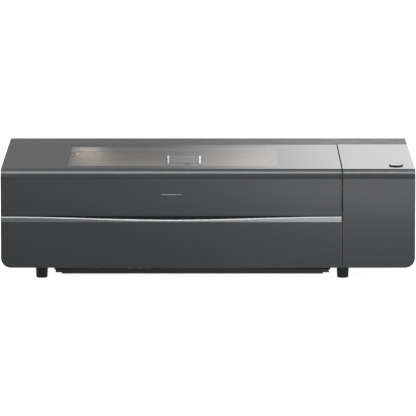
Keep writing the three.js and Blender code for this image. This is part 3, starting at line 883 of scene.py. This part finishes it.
# ---------------------------------------------------------------- gantry and head
def slotted_outline(low, high):
    """A rectangular extrusion's end view, with a T slot in the middle of each side."""
    gap, inside, skin, deep = 6 * MM, 11 * MM, 1.8 * MM, 5 * MM
    slot = [(-gap / 2, 0), (-gap / 2, skin), (-inside / 2, skin), (-gap / 2, deep),
            (gap / 2, deep), (inside / 2, skin), (gap / 2, skin), (gap / 2, 0)]
    (u0, v0), (u1, v1) = low, high
    corners = [Vector((u0, v0)), Vector((u1, v0)), Vector((u1, v1)), Vector((u0, v1))]
    points = []
    for i, corner in enumerate(corners):
        after = corners[(i + 1) % 4]
        way = (after - corner).normalized()
        inward = Vector((-way.y, way.x))
        centre = (corner + after) / 2
        points.append(tuple(corner))
        points += [tuple(centre + way * along + inward * down) for along, down in slot]
    return points


def mirror_disc(name, body, centre, direction):
    """A round polished mirror in a thin dark ring, turned to face a direction."""
    ring = [(0, 0), (7.2, 0), (7.2, 1.0), (6.6, 1.4), (6.0, 1.4), (6.0, 0.5), (0, 0.5)]
    glass = [(0, 0.55), (5.9, 0.55), (5.9, 1.0), (5.6, 1.2), (0, 1.2)]
    turn = Vector(direction).to_track_quat("Z", "Y").to_matrix().to_4x4()
    for part, profile, look in (("ring", ring, "plastic"), ("face", glass, "polished")):
        piece = turned(name + "_" + part, in_mm(profile), [(0, 0, 0)])
        piece.data.transform(Matrix.Translation(Vector(centre)) @ turn)
        place_piece(piece, body, "steel", look=look)


def make_gantry():
    low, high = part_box("gantry_beam")
    outline = slotted_outline((low.y, low.z), (high.y, high.z))
    beam = prism("gantry_extrusion", outline, "X", low.x, high.x)
    place_piece(bevelled(beam, 0.3 * MM, 2), "gantry", "steel", "gantry_beam")
    for node, x, side in (("gantry_end_left", -469 * MM, 1),
                          ("gantry_end_right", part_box("gantry_end_right")[0].x, -1)):
        places = [(x, y * MM, z * MM) for y in (104, 154) for z in (166, 200)]
        screws(node + "_screws", "gantry", places, "X", 2.4 * MM, side)
    mirror_disc("gantry_mirror", "gantry", (-452 * MM, 81 * MM, middle("gantry_mirror").z), (1, 1, 0))


def make_head():
    """The carriage: a moulded cover with a bolted face plate, and two mirror adjusters."""
    low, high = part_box("head_carriage")
    face, knob_tall, inset, far_in = 1.8 * MM, 4 * MM, 6 * MM, 10 * MM
    top = high.z - knob_tall
    cover = block("head_cover", (low.x, low.y + face, low.z), (high.x, high.y, top), 4 * MM, 5)
    place_piece(cover, "head", "plastic", "head_carriage")
    outline = rounded_rectangle((low.x + inset, low.z + inset), (high.x - inset, top - inset), 2.5 * MM)
    plate = prism("head_face_plate", outline, "Y", low.y + 0.4 * MM, low.y + face + 0.3 * MM)
    place_piece(bevelled(plate, 0.4 * MM, 2), "head", "steel")
    places = [(x, low.y + 0.4 * MM, z) for x in (low.x + far_in, high.x - far_in)
              for z in (low.z + far_in, top - far_in)]
    screws("head_plate_screws", "head", places, "Y", 1.6 * MM, -1)
    knob = in_mm([(0, 0), (3.4, 0), (3.4, 2.9), (3.0, 3.4), (1.4, 3.4), (1.2, 2.9), (0, 2.9)])
    centres = [(x, high.y - 9 * MM, top) for x in (low.x + 15 * MM, high.x - 15 * MM)]
    knobs = turned("mirror_adjusters", knob, centres, segments=24)
    place_piece(knobs, "head", "steel", look="polished")


def make_focus_tube():
    """The lens tube: an air nozzle, a knurled focus ring and a plain barrel."""
    low, _, centre = measure("focus_tube")
    profile = [(0, 4), (1.6, 4), (1.6, 0), (3.4, 0), (4.0, 0.6), (6.0, 8), (11.6, 13.4), (12.6, 14.4),
               (12.6, 30), (11.2, 31), (11.2, 50), (12.6, 51), (12.6, 55.2), (11.9, 56), (0, 56)]
    barrel = turned("lens_barrel", in_mm(profile), [(centre.x, centre.y, low.z)], segments=64)
    place_piece(barrel, "focus", "steel", "focus_tube")
    ridges, crest, root = 44, 13.0 * MM, 12.5 * MM
    knurl = ((0.0, crest), (0.4, crest), (0.7, root))
    outline = ridged_circle(centre.x, centre.y, ridges, knurl)
    ring = prism("focus_ring", outline, "Z", low.z + 17 * MM, low.z + 28 * MM)
    place_piece(ring, "focus", "steel", look="dark_steel")


# ---------------------------------------------------------------- brackets of the drive
def make_shaft_bearings():
    """Bearing blocks that carry the drive shaft, and the motor's bent bracket on the same wall."""
    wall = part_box("inner_rear_wall")[0].y
    shaft, half = middle("y_drive_shaft"), 7.5 * MM
    outline = rounded_rectangle((shaft.y - half, shaft.z - half), (wall, shaft.z + half), 2 * MM)
    bore = arc(shaft.y, shaft.z, 4.3 * MM, 0, 350, 35)
    blocks = [prism("bearing", outline, "X", x * MM, (x + 8) * MM, [bore]) for x in (-454, -110, 232)]
    bearings = bevelled(merged("shaft_bearing_blocks", blocks), 0.5 * MM, 2)
    place_piece(bearings, "base", "steel", look="dark_steel")
    low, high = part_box("y_motor")
    x0, x1, x2 = low.x, high.x + 0.3 * MM, high.x + 2.5 * MM
    shape = [(x0, wall), (x2, wall), (x2, low.y), (x1, low.y), (x1, wall - 2 * MM), (x0, wall - 2 * MM)]
    bracket = prism("y_motor_bracket", shape, "Z", low.z, high.z)
    place_piece(bevelled(bracket, 0.4 * MM, 2), "base", "frame")


def make_idler_arms():
    """Arms and pins that hold the two Y idlers beside their rails."""
    free, pin_radius, pin_reach = 1.5 * MM, 2.5 * MM, 2 * MM
    arms = []
    for side in ("left", "right"):
        wheel_low, wheel_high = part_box("y_idler_" + side)
        rail_low, rail_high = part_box("y_rail_" + side)
        hub = middle("y_idler_" + side)
        x0, x1 = wheel_high.x + free, rail_low.x
        if side == "left":
            x0, x1 = rail_high.x, wheel_low.x - free
        arms.append(block("arm", (x0, hub.y - 6 * MM, hub.z - 7 * MM),
                          (x1, hub.y + 6 * MM, hub.z + 9.5 * MM)))
        x0, x1 = wheel_low.x - pin_reach, wheel_high.x + pin_reach
        pin = [(0, x0), (pin_radius, x0), (pin_radius, x1), (0, x1)]
        arms.append(turned("pin", pin, [(0, hub.y, hub.z)], "X", 24))
    place_piece(merged("idler_arms_and_pins", arms), "base", "steel", look="dark_steel")


def make_focus_clamp():
    """The clamp on the carriage that the lens tube slides in."""
    tube = middle("focus_tube")
    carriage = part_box("head_carriage")[0]
    z0, z1 = 173.5 * MM, 177.6 * MM
    inner, outer, half = 13.3 * MM, 16.5 * MM, 9 * MM
    ring = [(inner, z0), (outer, z0), (outer, z1), (inner, z1), (inner, z0)]
    collar = turned("collar", ring, [(tube.x, tube.y, 0)], segments=64)
    lug = block("lug", (tube.x - half, tube.y + 0.5 * (inner + outer), z0),
                (tube.x + half, carriage.y + 3 * MM, z1))
    place_piece(merged("focus_clamp", [collar, lug]), "head", "steel", look="dark_steel")


def make_board_posts():
    """Posts that carry the control board above the power supply."""
    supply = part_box("power_supply")[1]
    low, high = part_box("control_board")
    inset, radius = 8 * MM, 3.2 * MM
    post = [(0, supply.z), (radius, supply.z), (radius, low.z), (0, low.z)]
    places = [(x, y, 0) for x in (low.x + inset, supply.x - inset)
              for y in (low.y + 2 * inset, high.y - inset)]
    place_piece(turned("board_posts", post, places, segments=6), "base", "steel")


# ---------------------------------------------------------------- laser tube bay
def make_laser_tube():
    """A glass envelope with necked ends, and metal end caps."""
    low, high, centre = measure("laser_tube")
    neck, shoulder, end = 8.4 * MM, 12 * MM, 4 * MM
    x0, x1 = low.x + 30 * MM, high.x - 30 * MM
    rise = (high.z - low.z) / 2 - shoulder
    profile = [(0, low.x + end), (neck, low.x + end), (neck, x0 - 2 * MM), (rise, x0)]
    profile += [(r, h) for h, r in arc(x0 + shoulder, rise, shoulder, 180, 90, 10)]
    profile += [(r, h) for h, r in arc(x1 - shoulder, rise, shoulder, 90, 0, 10)]
    profile += [(neck, x1 + 2 * MM), (neck, high.x - end), (0, high.x - end)]
    at = (0, centre.y, centre.z)
    tube = turned("laser_tube_envelope", profile, [at], "X")
    place_piece(tube, "base", "tube_glass", "laser_tube")
    caps = []
    for start in (low.x, high.x - 16 * MM):
        end = start + 16 * MM
        shape = [(0, start), (8.0 * MM, start), (9.0 * MM, start + MM), (9.0 * MM, end), (0, end)]
        caps.append(turned("cap", shape, [at], "X", 32))
    place_piece(merged("laser_tube_caps", caps), "base", "steel")


def make_water_tank():
    low, high, centre = measure("water_tank")
    top = high.z - 9 * MM      # the cap stands on it
    tank = block("water_tank_body", low, (high.x, high.y, top), 6 * MM, 5)
    place_piece(tank, "base", "grey_plastic", "water_tank")
    cap = in_mm([(0, 0), (16, 0), (16, 7.4), (14.6, 9), (6, 9), (5, 8.2), (0, 8.2)])
    lid = turned("water_tank_cap", cap, [(centre.x + 60 * MM, centre.y, top)])
    place_piece(lid, "base", "plastic")


# ---------------------------------------------------------------- electronics
def make_control_board():
    """A board with a finned heat sink, a processor and a row of seven sockets."""
    low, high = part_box("control_board")
    top = low.z + 1.7 * MM
    sheet = block("control_board_sheet", low, (high.x, high.y, top), 0.3 * MM)
    place_piece(sheet, "base", "board", "control_board")
    fins = [block("fin", (430 * MM, -40 * MM, top), (475 * MM, 40 * MM, top + 4 * MM))]
    for i in range(12):
        x = (430 + 3.9 * i) * MM
        fins.append(block("fin", (x, -40 * MM, top + 3.5 * MM), (x + 1.6 * MM, 40 * MM, high.z)))
    place_piece(merged("driver_heat_sink", fins), "base", "steel")
    chip = block("processor_chip", (365 * MM, -120 * MM, top), (405 * MM, -80 * MM, top + 3 * MM), 0.5 * MM)
    place_piece(chip, "base", "plastic")
    sockets = [block("socket", (350 * MM, y * MM, top), (361 * MM, (y + 12) * MM, top + 9 * MM))
               for y in range(-60, 52, 16)]
    place_piece(bevelled(merged("board_sockets", sockets), 0.5 * MM, 2), "base", "grey_plastic")


def make_power_supply():
    """A folded case with rows of vents, which are shallow raised rings on its top."""
    low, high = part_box("power_supply")
    top = high.z - 0.8 * MM
    case = block("power_supply_case", low, (high.x, high.y, top), 1.2 * MM)
    place_piece(case, "base", "frame", "power_supply")
    ring = in_mm([(3.2, 0), (3.2, 0.8), (2.4, 0.8), (2.4, 0), (3.2, 0)])
    centres = [(low.x + (20 + 12 * i) * MM, low.y + (30 + 12 * j) * MM, top)
               for i in range(9) for j in range(8)]
    place_piece(turned("power_supply_vents", ring, centres, segments=16), "base", "frame")


def make_power_inlet():
    """Three contact blades in the mains socket, and generic on and off marks on the rocker."""
    low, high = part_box("power_inlet")
    z = (low.z + high.z) / 2
    blades = []
    for x, dz in ((408.5 * MM, -3 * MM), (415.5 * MM, 3 * MM), (422.5 * MM, -3 * MM)):
        blades.append(block("blade", (x - MM, low.y + MM, z + dz - 2.4 * MM),
                            (x + MM, high.y - 3 * MM, z + dz + 2.4 * MM)))
    place_piece(merged("inlet_contacts", blades), "base", "steel", look="polished")
    bar = block("bar", (-0.6 * MM, 4.3 * MM, 4.5 * MM), (0.6 * MM, 4.85 * MM, 9.5 * MM))
    ring = in_mm([(2.6, 4.3), (2.6, 4.85), (1.9, 4.85), (1.9, 4.3), (2.6, 4.3)])
    marks = merged("rocker_marks", [bar, turned("ring", ring, [(0, 0, -7 * MM)], "Y", 32)])
    pivot = Matrix.Translation((449 * MM, 313 * MM, 74 * MM))
    tilt = Matrix.Rotation(math.radians(-8), 4, "X")
    marks.data.transform(pivot @ tilt)
    # the printed marks take the glowing white diffuser look, so they glow though no lamp is in them:
    # painted glow
    place_piece(marks, "rocker", "light")
    places = [(x, high.y - 0.3 * MM, z) for x in (low.x + 3.4 * MM, high.x - 3.4 * MM)]
    screws("inlet_screws", "base", places, "Y", 1.9 * MM)


# ---------------------------------------------------------------- exhaust
def fan_blade(centre, start, hub_radius, tip_radius):
    """One blade, as wing sections that thin out and flatten towards the tip. start is its angle."""
    root = hub_radius - 2 * MM
    section = ((-0.5, 0.0), (-0.25, 0.5), (0.1, 0.5), (0.5, 0.0), (0.1, -0.3), (-0.25, -0.35))
    bm = bmesh.new()
    rings = []
    stations = 9
    for i in range(stations):
        t = i / (stations - 1)
        radius = root + (tip_radius - root) * t
        pitch = math.radians(50 - 24 * t)
        chord, thick = (24 + 7 * t) * MM, (2.4 - 1.2 * t) * MM
        ring = []
        for share, side in section:
            along, off = share * chord, side * thick
            turn = along * math.cos(pitch) - off * math.sin(pitch)
            axial = along * math.sin(pitch) + off * math.cos(pitch)
            angle = start + 0.25 * t * t + turn / radius
            ring.append(bm.verts.new((centre.x + radius * math.cos(angle), centre.y + axial,
                                      centre.z + radius * math.sin(angle))))
        rings.append(ring)
    skin_rings(bm, rings)
    return new_piece("blade", bm)


def make_fan_rotor():
    """A domed hub with seven twisted blades."""
    low, high, centre = measure("fan_rotor")
    edge, blades = 20 * MM, 7
    hub = [(0, low.y), (edge - 2 * MM, low.y), (edge, low.y + 2 * MM), (edge, high.y - 3 * MM),
           (edge - 3 * MM, high.y), (0, high.y)]
    parts = [turned("hub", hub, [(centre.x, 0, centre.z)], "Y")]
    parts += [fan_blade(centre, 2 * math.pi * i / blades, edge, 53.5 * MM) for i in range(blades)]
    place_piece(merged("fan_hub_and_blades", parts), "exhaust_fan", "plastic", "fan_rotor")


def make_exhaust_collar():
    """A hose collar with two grip rings, on a round flange with four screws."""
    low, high, centre = measure("exhaust_collar")
    flange, y0, y1 = (high.x - low.x) / 2 / MM, low.y / MM, high.y / MM
    profile = [(49, y0), (flange - 1, y0), (flange, y0 + 1), (flange - 0.8, y0 + 2), (51.6, y0 + 2),
               (51, y0 + 3)]
    for ring in (y0 + 5, y0 + 9):
        profile += [(51, ring), (52, ring + 0.8), (51, ring + 1.6)]
    profile += [(51, y1 - 0.6), (50.6, y1), (49.4, y1), (49, y1 - 0.5), (49, y0)]
    collar = turned("exhaust_collar_ring", in_mm(profile), [(centre.x, 0, centre.z)], "Y", 96)
    place_piece(collar, "base", "plastic", "exhaust_collar")
    places = [(x, low.y + 2 * MM, z) for x, z in arc(centre.x, centre.z, 66 * MM, 45, 315, 3)]
    screws("exhaust_collar_screws", "base", places, "Y", 2.4 * MM)


# ---------------------------------------------------------------- the scene
make_camera()
make_world()
make_floor()
make_cards()
make_lights()

make_lid_front()
make_tower_front()
make_door()
make_trim()
make_lid_seal()
make_side_panels()
make_rear()
make_feet()
make_lid_glass()
make_lid_frame()
make_camera_module()
make_tower_top()
make_start_button()

make_bed()
make_tray_strip()
make_inner_wall_fittings()
make_y_rails()
make_belts()
make_pulleys()
make_drive_shaft()
make_motor("y_motor", "base", "X")
make_motor("x_motor", "gantry", "Y")
make_gantry()
make_head()
make_focus_tube()

make_shaft_bearings()
make_idler_arms()
make_focus_clamp()
make_board_posts()
make_laser_tube()
make_water_tank()
make_control_board()
make_power_supply()
make_power_inlet()
make_fan_rotor()
make_exhaust_collar()

looks = {entry["node"]: entry["material_slot"] for entry in frame["record"]["subparts"]}
looks["lid_hinge_barrel"] = "dark_steel"
for node in frame["nodes"]:
    dress(node, looks[node], 0.5 * MM)
mirror_disc("tube_mirror", "base", (-448 * MM, 223 * MM, 196 * MM), (1, -1, 0))
